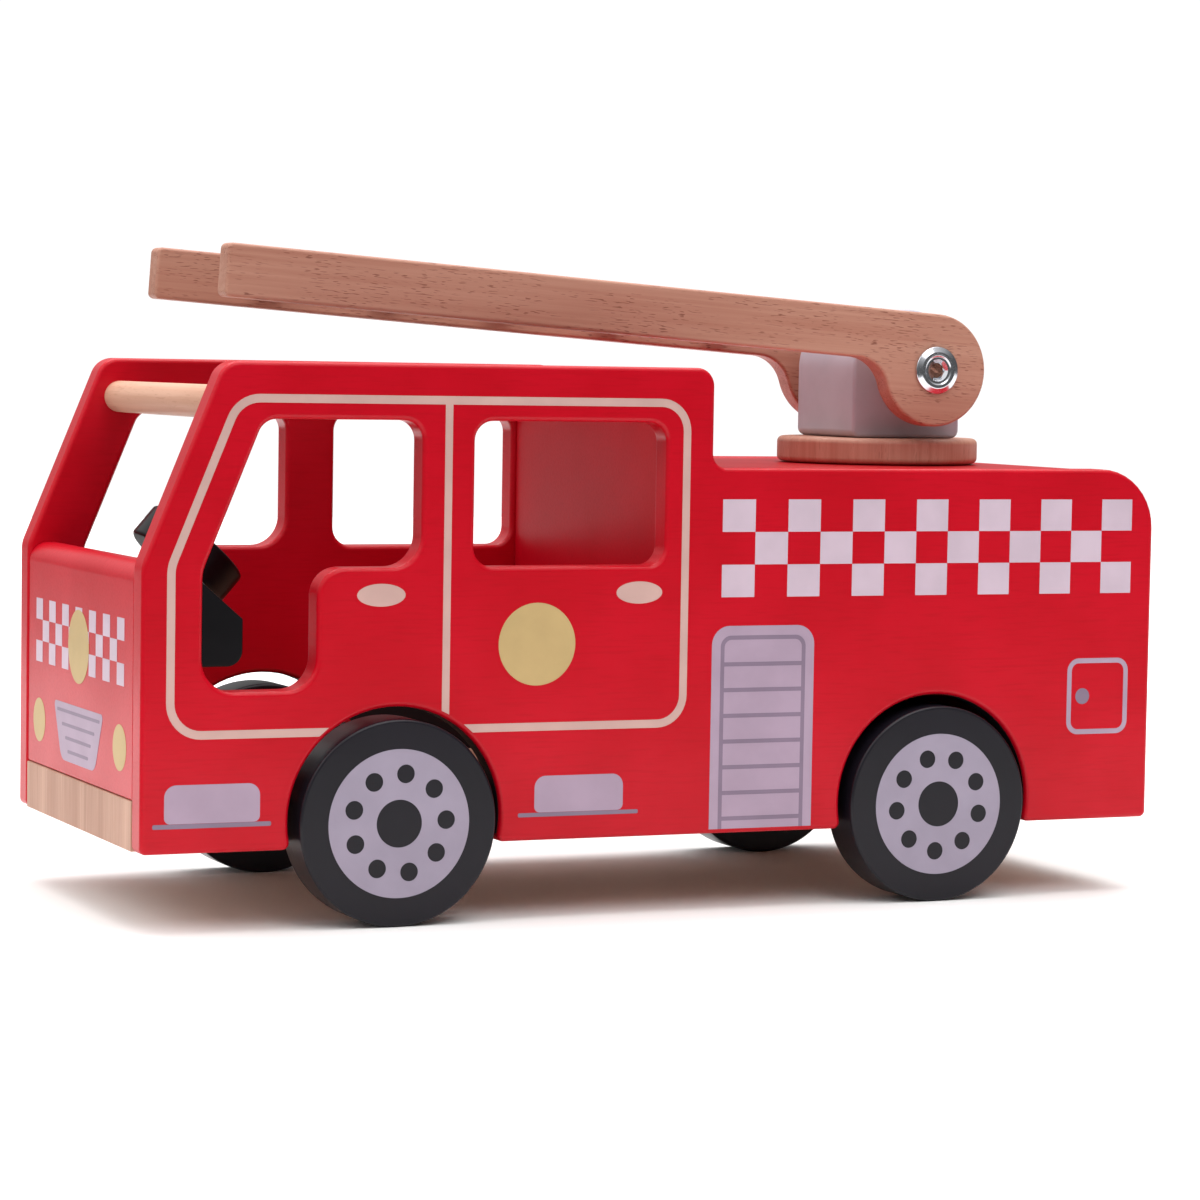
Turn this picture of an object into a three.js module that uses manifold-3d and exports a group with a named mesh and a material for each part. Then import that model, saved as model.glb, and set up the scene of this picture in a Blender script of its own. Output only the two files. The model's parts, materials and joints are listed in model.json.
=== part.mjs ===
// Wooden toy fire engine: two painted side boards on a beech base board, four lacquered wheels on two
// steel axles, and a beech ladder that turns on a turntable and lifts about a bolt.
// Millimetres. The front faces -X, the left side faces -Y, +Z is up, and Z = 0 is the ground. Heights in
// the constants are above the body's underside.
import * as THREE from "three";
import { mergeVertices } from "three/addons/utils/BufferGeometryUtils.js";
import Module from "manifold-3d";

const wasm = await Module();
wasm.setup();

// Overall body
const bodyLength = 284.4;
const bodyWidth = 112.8;
const cabTop = 120.3;
const deckEdge = 94.7; // top edge of the side boards behind the cab
const cabRear = 10; // X of the cab's rear edge
const boardThickness = 8;
const baseThickness = 12.4;

// Clearances
const glueLine = 0.1; // between boards that are glued
const pinFit = 0.15; // round a fixed pin or dowel in its hole
const runFit = 0.1; // round a shaft that turns in its hole
const restGap = 0.3; // under a piece that turns on its neighbour

// Side board outline
const windshieldLean = THREE.MathUtils.degToRad(22.33); // from upright
const sillHeight = 70.5; // where the windshield slope starts
const tailRadius = 16;
const noseRadius = 8;
const browRadius = 6;
const cabRearRadius = 4.7;
const deckFillet = 3.7;
const footRadius = 1.5;

// Wheels and axles
const wheelRadius = 26;
const wheelThickness = 14;
const wheelProud = 2.6; // how far a wheel's face stands out of the side board
const wheelEdge = 1.6;
const wheelbase = 152.4;
const axleRadius = 2;
const axleSeat = 10; // depth of the blind hole in a wheel
const bushWall = 1.1;
const bushLength = 12;
const bushFlange = 1;
const bushFlangeRadius = 5;
const wheelGap = 0.6; // between a wheel and a bush flange
const axleHeight = 6;
const archGap = 2.1; // between a wheel's tread and its arch
const archRise = 0.8; // arch centre above the axle
const notchClearance = 3.3; // round a wheel in the base board's notch

// Windows
const windowTop = 106.2;
const windowLedge = 69.6;
const windowRadius = 5;
const pillarWidth = 16.1; // windshield pillar, measured level
const jambWidth = 15.4; // below the pillar, in front of the door window
const doorRear = -70;
const doorKnee = -97.3; // rear of the window's low part
const doorBottom = 39.4;
const doorCorner = 8;
const doorKneeRadius = 7;
const doorSillRadius = 9; // where the pillar meets the jamb
const rearWindowFront = -56;
const rearWindowRear = -3.3;

// Boards between the sides
const frontRecess = 0.3; // front board behind the side boards' front edges
const frontTop = 71;
const frontRound = 5;
const bulkheadFront = -2;
const bulkheadTop = 116;
const deckDrop = 0.2; // deck board below the side boards' edge
const tailInset = 10;

// Grab bar under the windshield's top
const barRadius = 4.2;
const barX = -117.4;
const barZ = 110;
const barSeat = 4; // depth of its blind holes

// Dashboard and steering wheel
const dashDepth = 19.9;
const dashBottom = 45;
const dashRear = 11.7; // height of the rear face below the slope
const dashRound = 4;
const dashDrop = 2; // its top below the front board's
const dashSlope = THREE.MathUtils.degToRad(49); // the slope's normal above level
const steeringRadius = 14.5;
const steeringThickness = 9.4;
const steeringGap = 5.7; // disc above the dashboard's slope
const steeringUp = 8.3; // peg up the slope from its foot
const pegRadius = 3;
const pegSeat = 7;

// Turntable
const turntableX = 86.8;
const discRadius = 27.8;
const discThickness = 7;
const postLength = 33;
const postWidth = 34.2;
const pivotHeight = 120.6;
const boltRadius = 2.9;
const boltHeadRadius = 6.4;
const boltHead = 1.5;
const washerRadius = 9;
const washerThickness = 1;
const insertWall = 1;
const insertLength = 12;

// Ladder
const restLift = THREE.MathUtils.degToRad(3.95);
const ladderReach = 202; // pivot to tip
const ladderWidth = 66.6; // over both arms
const armThickness = 7;
const armRise = 1.7; // lower edge above the pivot
const lobeRadius = 15.2; // the upper edge runs off it
const throatRadius = 10; // between lobe and lower edge
const tipRadius = 1.5;
const rungRadius = 4;
const rungSeat = 4;
const rungCount = 5;
const firstRung = 39;
const rungPitch = 33;
const sleeveRadius = 3;
const sleeveWall = 0.9;
const sleeveShort = 2; // end of the sleeve inside the arm's outer face
const spacerRadius = 8;
const socketRadius = 2.2; // across the corners of the hexagon
const socketDepth = 1.1;

// Worked out
const halfLength = bodyLength / 2;
const halfWidth = bodyWidth / 2;
const innerWidth = bodyWidth - 2 * boardThickness;
const betweenBoards = innerWidth - 2 * glueLine;
const archRadius = wheelRadius + archGap;
const frontFace = -halfLength + frontRecess;
const wheelFace = halfWidth + wheelProud;
const wheelInner = wheelFace - wheelThickness;
const notchFace = wheelInner - wheelGap - bushFlange - glueLine;
const axleLength = 2 * (wheelInner + axleSeat - pinFit);
const browX = -halfLength + (cabTop - sillHeight) * Math.tan(windshieldLean);
const deckTop = deckEdge - deckDrop;
const discBottom = deckTop + restGap;
const postBottom = discBottom + discThickness + glueLine;
const armOuter = ladderWidth / 2;
const armInner = armOuter - armThickness;

const round = 16; // sides of a small round piece
const wheelSides = 48;

const colours = {
  red: { color: 0xc8141e, roughness: 0.32, metalness: 0 },
  beech: { color: 0xcf9c78, roughness: 0.62, metalness: 0 },
  pine: { color: 0xdcb48e, roughness: 0.62, metalness: 0 },
  black: { color: 0x0c0c0e, roughness: 0.22, metalness: 0 },
  lilac: { color: 0xb3a2a8, roughness: 0.5, metalness: 0 },
  steel: { color: 0xc4c6ca, roughness: 0.25, metalness: 1 },
  nylon: { color: 0xe9e7e0, roughness: 0.5, metalness: 0 },
};

const fireEngine = new THREE.Group();

function place(group, name, geometry, colour, position = [0, 0, 0]) {
  const mesh = new THREE.Mesh(geometry, new THREE.MeshStandardMaterial(colours[colour]));
  mesh.name = name;
  mesh.position.set(...position);
  group.add(mesh);
  return mesh;
}

// Corners are [x, z] or [x, z, radius]; a corner with a radius becomes an arc.
function outline(corners) {
  const points = [];
  corners.forEach(([x, z, radius], i) => {
    const corner = new THREE.Vector2(x, z);
    if (!radius) {
      points.push(corner);
      return;
    }
    const toBefore = new THREE.Vector2(...corners.at(i - 1).slice(0, 2)).sub(corner).normalize();
    const next = corners[(i + 1) % corners.length];
    const toAfter = new THREE.Vector2(...next.slice(0, 2)).sub(corner).normalize();
    const half = Math.acos(toBefore.dot(toAfter)) / 2;
    const centre = toBefore.clone().add(toAfter).setLength(radius / Math.sin(half)).add(corner);
    const start = toBefore.setLength(radius / Math.tan(half)).add(corner).sub(centre);
    const turn = Math.PI - 2 * half;
    const side = Math.sign(start.clone().cross(corner.clone().sub(centre)));
    const steps = Math.max(2, Math.ceil(turn / (Math.PI / 12)));
    for (let k = 0; k <= steps; k++) {
      points.push(start.clone().rotateAround(new THREE.Vector2(), (side * turn * k) / steps).add(centre));
    }
  });
  return points;
}

function arc(cx, cz, radius, from, to, steps) {
  return Array.from({ length: steps + 1 }, (_, k) => {
    const angle = from + ((to - from) * k) / steps;
    return [cx + radius * Math.cos(angle), cz + radius * Math.sin(angle)];
  });
}

// A board whose outline lies in the XZ plane; it spans the given thickness about the given Y.
function board(points, thickness, y, holes = []) {
  const shape = new THREE.Shape(points);
  shape.holes = holes.map((hole) => new THREE.Path(hole));
  const geometry = new THREE.ExtrudeGeometry(shape, { depth: thickness, bevelEnabled: false });
  return geometry.rotateX(Math.PI / 2).translate(0, y + thickness / 2, 0);
}

function block(x0, x1, y0, y1, z0, z1) {
  const geometry = new THREE.BoxGeometry(x1 - x0, y1 - y0, z1 - z0);
  return geometry.translate((x0 + x1) / 2, (y0 + y1) / 2, (z0 + z1) / 2);
}

// A cylinder along Y or Z between two places on that axis.
function rod(axis, radius, from, to, x = 0, other = 0, sides = round) {
  const geometry = new THREE.CylinderGeometry(radius, radius, to - from, sides);
  if (axis === "y") return geometry.translate(x, (from + to) / 2, other);
  return geometry.rotateX(Math.PI / 2).translate(x, other, (from + to) / 2);
}

// A turned piece about Y from a closed profile of [radius, y] points.
function turned(profile, sides = round) {
  const points = profile.map(([radius, y]) => new THREE.Vector2(radius, y));
  return new THREE.LatheGeometry([...points, points[0].clone()], sides);
}

// The same piece stood up, so that its profile runs along Z.
function turnedUp(profile, sides = round) {
  return turned(profile, sides).rotateX(Math.PI / 2);
}

function toSolid(geometry) {
  const bare = new THREE.BufferGeometry();
  bare.setAttribute("position", geometry.getAttribute("position"));
  bare.setIndex(geometry.getIndex());
  const merged = mergeVertices(bare, 1e-4);
  return new wasm.Manifold(
    new wasm.Mesh({
      numProp: 3,
      vertProperties: new Float32Array(merged.attributes.position.array),
      triVerts: new Uint32Array(merged.index.array),
    }),
  );
}

function cut(geometry, ...tools) {
  const left = tools.reduce((rest, tool) => rest.subtract(toSolid(tool)), toSolid(geometry)).getMesh();
  const result = new THREE.BufferGeometry();
  result.setAttribute("position", new THREE.BufferAttribute(left.vertProperties, 3));
  result.setIndex(new THREE.BufferAttribute(left.triVerts, 1));
  return result;
}

// Side boards

function archAt(x) {
  const centre = axleHeight + archRise;
  const dip = Math.asin(centre / archRadius);
  return arc(x, centre, archRadius, Math.PI + dip, -dip, 24);
}

function sideOutline() {
  return outline([
    [-halfLength, 0, footRadius],
    ...archAt(-wheelbase / 2),
    ...archAt(wheelbase / 2),
    [halfLength, 0, footRadius],
    [halfLength, deckEdge, tailRadius],
    [cabRear, deckEdge, deckFillet],
    [cabRear, cabTop, cabRearRadius],
    [browX, cabTop, browRadius],
    [-halfLength, sillHeight, noseRadius],
  ]);
}

function doorWindowOutline() {
  const slope = Math.tan(windshieldLean);
  const front = -halfLength + jambWidth;
  const pillarX = (z) => (z - sillHeight) * slope - halfLength + pillarWidth;
  return outline([
    [front, doorBottom, doorCorner],
    [doorKnee, doorBottom, doorCorner],
    [doorKnee, windowLedge, doorKneeRadius],
    [doorRear, windowLedge, doorCorner],
    [doorRear, windowTop, windowRadius],
    [pillarX(windowTop), windowTop, windowRadius],
    [front, sillHeight - (pillarWidth - jambWidth) / slope, doorSillRadius],
  ]);
}

function rearWindowOutline() {
  return outline([
    [rearWindowFront, windowLedge, windowRadius],
    [rearWindowRear, windowLedge, windowRadius],
    [rearWindowRear, windowTop, windowRadius],
    [rearWindowFront, windowTop, windowRadius],
  ]);
}

function addSideBoards(group) {
  const barReach = innerWidth / 2 + barSeat;
  const barHole = rod("y", barRadius + pinFit, -barReach, barReach, barX, barZ);
  for (const [name, side] of [
    ["left_side_board", -1],
    ["right_side_board", 1],
  ]) {
    const y = side * (halfWidth - boardThickness / 2);
    const plate = board(sideOutline(), boardThickness, y, [doorWindowOutline(), rearWindowOutline()]);
    place(group, name, cut(plate, barHole), "red");
  }
  place(group, "grab_bar", rod("y", barRadius, pinFit - barReach, barReach - pinFit, barX, barZ), "pine");
}

// Base board, with a notch for each wheel and a bore for each axle

function addBaseBoard(group) {
  const plate = block(-halfLength, halfLength, -betweenBoards / 2, betweenBoards / 2, 0, baseThickness);
  const tools = [];
  const reach = wheelRadius + notchClearance;
  for (const x of [-wheelbase / 2, wheelbase / 2]) {
    tools.push(rod("y", axleRadius + bushWall + pinFit, -halfWidth, halfWidth, x, axleHeight));
    for (const side of [-1, 1]) {
      const [near, far] = [side * notchFace, side * halfWidth].sort((a, b) => a - b);
      tools.push(block(x - reach, x + reach, near, far, -1, cabTop));
    }
  }
  place(group, "base_board", cut(plate, ...tools), "pine");
}

// Boards across the body

function addCrossBoards(group) {
  const frontRear = frontFace + boardThickness;
  const front = outline([
    [frontFace, baseThickness + glueLine],
    [frontRear, baseThickness + glueLine],
    [frontRear, frontTop, footRadius],
    [frontFace, frontTop, frontRound],
  ]);
  place(group, "front_board", board(front, betweenBoards, 0), "red");

  const bulkheadRear = bulkheadFront + boardThickness;
  const bulkhead = outline([
    [bulkheadFront, baseThickness + glueLine],
    [bulkheadRear, baseThickness + glueLine],
    [bulkheadRear, bulkheadTop, footRadius],
    [bulkheadFront, bulkheadTop, footRadius],
  ]);
  place(group, "cab_bulkhead", board(bulkhead, betweenBoards, 0), "red");

  const tailFace = halfLength - tailInset;
  const tailFront = tailFace - boardThickness;
  const tail = outline([
    [tailFront, baseThickness + glueLine],
    [tailFace, baseThickness + glueLine],
    [tailFace, deckTop - 2 * footRadius, footRadius],
    [tailFront, deckTop, footRadius],
  ]);
  place(group, "tail_board", board(tail, betweenBoards, 0), "red");

  const deck = block(
    bulkheadRear + glueLine,
    tailFront - glueLine,
    -betweenBoards / 2,
    betweenBoards / 2,
    deckTop - boardThickness,
    deckTop,
  );
  const boltHole = rod("z", boltRadius + runFit, 0, cabTop, turntableX);
  place(group, "deck_board", cut(deck, boltHole), "red");
}

// Dashboard, with the steering wheel on a peg square to its slope

function addDashboard(group) {
  const front = frontFace + boardThickness + glueLine;
  const rear = front + dashDepth;
  const slopeFoot = dashBottom + dashRear;
  const top = frontTop - dashDrop;
  const slopeRun = (top - slopeFoot) * Math.tan(dashSlope);
  const profile = outline([
    [front, dashBottom],
    [rear, dashBottom, dashRound],
    [rear, slopeFoot],
    [rear - slopeRun, top],
    [front, top],
  ]);

  // The steering group's Z runs along the peg, with its origin on the slope.
  const steering = new THREE.Group();
  const tilt = Math.PI / 2 - dashSlope;
  steering.position.set(
    rear - steeringUp * Math.cos(tilt),
    0,
    slopeFoot + steeringUp * Math.sin(tilt),
  );
  steering.rotation.y = tilt;
  group.add(steering);

  const pegHole = rod("z", pegRadius + runFit, -pegSeat, pegSeat);
  steering.updateMatrix();
  pegHole.applyMatrix4(steering.matrix);
  place(group, "dashboard", cut(board(profile, betweenBoards, 0), pegHole), "black");

  const discFar = steeringGap + steeringThickness;
  const pegTop = steeringGap + pegSeat;
  place(steering, "steering_peg", rod("z", pegRadius, pinFit - pegSeat, pegTop - pinFit), "black");
  const wheel = turnedUp(
    [
      [0, pegTop],
      [pegRadius + pinFit, pegTop],
      [pegRadius + pinFit, steeringGap],
      [steeringRadius - 1, steeringGap],
      [steeringRadius, steeringGap + 1],
      [steeringRadius, discFar - 1],
      [steeringRadius - 1, discFar],
      [0, discFar],
    ],
    36,
  );
  place(steering, "steering_wheel", wheel, "black");
}

// Two wheels on each axle, which runs in flanged bushes in the base board

function addWheelset(group, end, x) {
  const wheelset = new THREE.Group();
  wheelset.position.set(x, 0, axleHeight);
  group.add(wheelset);
  place(wheelset, end + "_axle", rod("y", axleRadius, -axleLength / 2, axleLength / 2), "steel");
  for (const [sideName, side] of [
    ["left", -1],
    ["right", 1],
  ]) {
    const wheel = turned(
      [
        [0, wheelInner + axleSeat],
        [axleRadius + pinFit, wheelInner + axleSeat],
        [axleRadius + pinFit, wheelInner],
        [wheelRadius - wheelEdge, wheelInner],
        [wheelRadius, wheelInner + wheelEdge],
        [wheelRadius, wheelFace - wheelEdge],
        [wheelRadius - wheelEdge, wheelFace],
        [0, wheelFace],
      ],
      wheelSides,
    );
    if (side < 0) wheel.rotateX(Math.PI);
    place(wheelset, `${end}_${sideName}_wheel`, wheel, "black");

    const bore = axleRadius + runFit;
    const barrel = axleRadius + bushWall;
    const seat = notchFace + glueLine;
    const bush = turned([
      [bore, seat - bushLength],
      [barrel, seat - bushLength],
      [barrel, seat],
      [bushFlangeRadius, seat],
      [bushFlangeRadius, seat + bushFlange],
      [bore, seat + bushFlange],
    ]);
    if (side < 0) bush.rotateX(Math.PI);
    place(group, `${end}_${sideName}_bush`, bush, "nylon", [x, 0, axleHeight]);
  }
}

// Turntable: disc and post on one bolt through the deck board

function addTurntable(group) {
  const turntable = new THREE.Group();
  turntable.position.x = turntableX;
  group.add(turntable);

  const pivotHole = rod("y", sleeveRadius + runFit, -halfWidth, halfWidth, 0, pivotHeight);
  const disc = rod("z", discRadius, discBottom, discBottom + discThickness, 0, 0, wheelSides);
  const insertRadius = boltRadius + insertWall;
  const boltHole = rod("z", boltRadius + pinFit, 0, postBottom + 1);
  place(turntable, "turntable_disc", cut(disc, boltHole), "beech");

  const half = postLength / 2;
  const corner = footRadius;
  const post = board(
    outline([
      [-half, postBottom, corner],
      [half, postBottom, corner],
      ...arc(0, pivotHeight, half, 0, Math.PI, 20),
    ]),
    postWidth,
    0,
  );
  const insertHole = rod("z", insertRadius + pinFit, 0, postBottom + insertLength + 1);
  place(turntable, "ladder_post", cut(post, pivotHole, insertHole), "lilac");
  const insert = turnedUp([
    [boltRadius + pinFit, postBottom + glueLine],
    [insertRadius, postBottom + glueLine],
    [insertRadius, postBottom + insertLength],
    [boltRadius + pinFit, postBottom + insertLength],
  ]);
  place(turntable, "post_insert", insert, "steel");

  const washerTop = deckTop - boardThickness - restGap;
  const washer = turnedUp([
    [boltRadius + pinFit, washerTop - washerThickness],
    [washerRadius, washerTop - washerThickness],
    [washerRadius, washerTop],
    [boltRadius + pinFit, washerTop],
  ]);
  place(turntable, "turntable_washer", washer, "steel");

  const headTop = washerTop - washerThickness - glueLine;
  const bolt = turnedUp([
    [0, headTop - boltHead],
    [boltHeadRadius - 1, headTop - boltHead],
    [boltHeadRadius, headTop - 0.6],
    [boltHeadRadius, headTop],
    [boltRadius, headTop],
    [boltRadius, postBottom + insertLength - 1],
    [0, postBottom + insertLength - 1],
  ]);
  place(turntable, "turntable_bolt", bolt, "steel");
  return turntable;
}

// Ladder: two arms and their rungs, in a frame whose origin is the pivot and whose arms run along -X

function armOutline() {
  const throatUp = armRise - throatRadius;
  const throatX = -Math.sqrt((lobeRadius + throatRadius) ** 2 - throatUp ** 2);
  const meet = Math.atan2(throatUp, throatX) + 2 * Math.PI; // from the pivot to the throat's centre
  return outline([
    [-ladderReach, armRise, tipRadius],
    ...arc(throatX, throatUp, throatRadius, Math.PI / 2, meet - Math.PI, 8),
    ...arc(0, 0, lobeRadius, meet, 2.5 * Math.PI, 20),
    [-ladderReach, lobeRadius, tipRadius],
  ]);
}

function addLadder(turntable) {
  const ladder = new THREE.Group();
  ladder.position.z = pivotHeight;
  ladder.rotation.y = restLift;
  turntable.add(ladder);

  const rungUp = (armRise + lobeRadius) / 2;
  const rungReach = armInner + rungSeat;
  const places = Array.from({ length: rungCount }, (_, k) => -(firstRung + k * rungPitch));
  const holes = places.map((x) => rod("y", rungRadius + pinFit, -rungReach, rungReach, x, rungUp));
  holes.push(rod("y", sleeveRadius + pinFit, -halfWidth, halfWidth));
  for (const [name, side] of [
    ["left_ladder_arm", -1],
    ["right_ladder_arm", 1],
  ]) {
    const plate = board(armOutline(), armThickness, side * (armOuter - armThickness / 2));
    place(ladder, name, cut(plate, ...holes), "beech");
  }
  places.forEach((x, k) => {
    const rung = rod("y", rungRadius, pinFit - rungReach, rungReach - pinFit, x, rungUp);
    place(ladder, `rung_${k + 1}`, rung, "beech");
  });

  // The pivot's sleeve nut has its cap on the right arm, and the bolt screws into it from the left.
  const capIn = armOuter + glueLine;
  const capOut = capIn + boltHead;
  const sleeveBore = sleeveRadius - sleeveWall;
  const sleeve = turned([
    [0, capOut],
    [0, capIn - 2],
    [sleeveBore, capIn - 2],
    [sleeveBore, sleeveShort - armOuter],
    [sleeveRadius, sleeveShort - armOuter],
    [sleeveRadius, capIn],
    [boltHeadRadius, capIn],
    [boltHeadRadius, capOut - 0.9],
    [boltHeadRadius - 1, capOut],
  ]);
  place(ladder, "pivot_sleeve_nut", sleeve, "steel");
  const boltShank = sleeveBore - pinFit;
  const bolt = turned([
    [0, -capOut],
    [boltHeadRadius - 1, -capOut],
    [boltHeadRadius, 0.9 - capOut],
    [boltHeadRadius, -capIn],
    [boltShank, -capIn],
    [boltShank, armInner],
    [0, armInner],
  ]);
  const socket = rod("y", socketRadius, -capOut - 1, socketDepth - capOut, 0, 0, 6);
  place(ladder, "pivot_bolt", cut(bolt, socket), "steel");

  for (const [name, side] of [
    ["left_spacer", -1],
    ["right_spacer", 1],
  ]) {
    const spacer = turned([
      [sleeveRadius + pinFit, postWidth / 2 + restGap],
      [spacerRadius, postWidth / 2 + restGap],
      [spacerRadius, armInner - glueLine],
      [sleeveRadius + pinFit, armInner - glueLine],
    ]);
    if (side < 0) spacer.rotateX(Math.PI);
    place(ladder, name, spacer, "beech");
  }
}

const truck = new THREE.Group();
truck.position.z = wheelRadius - axleHeight;
fireEngine.add(truck);
addSideBoards(truck);
addBaseBoard(truck);
addCrossBoards(truck);
addDashboard(truck);
addWheelset(truck, "front", -wheelbase / 2);
addWheelset(truck, "rear", wheelbase / 2);
addLadder(addTurntable(truck));

export default fireEngine;
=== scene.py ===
import json
import math
import bpy
from mathutils import Matrix, Vector
from mathutils.geometry import tessellate_polygon


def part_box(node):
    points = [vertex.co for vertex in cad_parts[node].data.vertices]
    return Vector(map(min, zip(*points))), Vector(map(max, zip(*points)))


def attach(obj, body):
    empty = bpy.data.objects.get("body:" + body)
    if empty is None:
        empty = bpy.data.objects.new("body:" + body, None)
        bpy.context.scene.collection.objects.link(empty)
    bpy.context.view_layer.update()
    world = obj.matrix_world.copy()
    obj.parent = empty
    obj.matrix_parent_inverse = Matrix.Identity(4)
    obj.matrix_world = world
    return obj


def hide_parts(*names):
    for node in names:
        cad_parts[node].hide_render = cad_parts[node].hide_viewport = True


# A wooden fire engine: painted boards, printed decoration, lacquered wheels and a beech ladder.
# Outlines are in millimetres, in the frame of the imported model: front towards -X, left side towards -Y.

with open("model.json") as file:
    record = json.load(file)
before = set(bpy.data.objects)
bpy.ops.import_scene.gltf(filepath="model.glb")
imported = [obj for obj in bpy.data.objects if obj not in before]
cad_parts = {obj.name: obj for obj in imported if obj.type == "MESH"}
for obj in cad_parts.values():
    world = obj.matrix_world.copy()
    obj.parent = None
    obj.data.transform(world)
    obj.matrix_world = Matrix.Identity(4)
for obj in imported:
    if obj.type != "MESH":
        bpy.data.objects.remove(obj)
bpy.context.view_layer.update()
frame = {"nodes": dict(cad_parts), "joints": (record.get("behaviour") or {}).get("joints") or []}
mm = 0.001
joints = {joint["name"]: joint for joint in frame["joints"]}


def span(node):
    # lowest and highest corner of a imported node, in millimetres
    low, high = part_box(node)
    return low / mm, high / mm


# Outlines: lists of (point, normal of the stretch before, normal of the stretch after)

def arcOf(centre, radius, start, end, step=5):
    # angles in degrees; the normals point to the right of the way it runs
    count = max(2, math.ceil(abs(end - start) / step))
    side = 1 if end > start else -1
    points = []
    for k in range(count + 1):
        angle = math.radians(start + (end - start) * k / count)
        ray = Vector((math.cos(angle), math.sin(angle)))
        points.append((Vector(centre) + radius * ray, side * ray, side * ray))
    return points


def cornerOf(before, corner, after, radius):
    before, corner, after = Vector(before), Vector(corner), Vector(after)
    back, ahead = (before - corner).normalized(), (after - corner).normalized()
    normalIn, normalOut = Vector((-back.y, back.x)), Vector((ahead.y, -ahead.x))
    if not radius:
        return [(corner, normalIn, normalOut)]
    half = math.acos(max(-1, min(1, back.dot(ahead)))) / 2
    centre = corner + (back + ahead).normalized() * radius / math.sin(half)
    turnsLeft = (-back).cross(ahead) > 0
    first = normalIn if turnsLeft else -normalIn
    turn = math.degrees(math.pi - 2 * half) * (1 if turnsLeft else -1)
    start = math.degrees(math.atan2(first.y, first.x))
    return arcOf(centre, radius, start, start + turn, 9)


def outline(*items):
    # each item is a corner (u, v, radius) or a ready arc; counter-clockwise round the solid
    corners = [item if isinstance(item, list) else Vector(item[:2]) for item in items]
    loop = []
    for i, item in enumerate(items):
        if isinstance(item, list):
            loop += item
            continue
        before, after = corners[i - 1], corners[(i + 1) % len(items)]
        before = before[-1][0] if isinstance(before, list) else before
        after = after[0][0] if isinstance(after, list) else after
        loop += cornerOf(before, item[:2], after, item[2] if len(item) > 2 else 0)
    return loop


def boxLoop(u0, u1, v0, v1, radius=0, topRadius=None):
    top = radius if topRadius is None else topRadius
    return outline((u0, v0, radius), (u1, v0, radius), (u1, v1, top), (u0, v1, top))


def discLoop(u, v, radius, step=6):
    return arcOf((u, v), radius, 0, 360, step)[:-1]


def ovalLoop(u, v, width, height, count=40):
    loop = []
    for k in range(count):
        angle = math.tau * k / count
        normal = Vector((math.cos(angle) * height, math.sin(angle) * width)).normalized()
        point = Vector((u + width / 2 * math.cos(angle), v + height / 2 * math.sin(angle)))
        loop.append((point, normal, normal))
    return loop


def asHole(loop):
    return [(point, -after, -before) for point, before, after in reversed(loop)]


def mirrored(loop):
    flip = Vector((-1, 1))
    return [(point * flip, after * flip, before * flip) for point, before, after in reversed(loop)]


# Meshes with a chosen normal at every corner of every face

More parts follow.
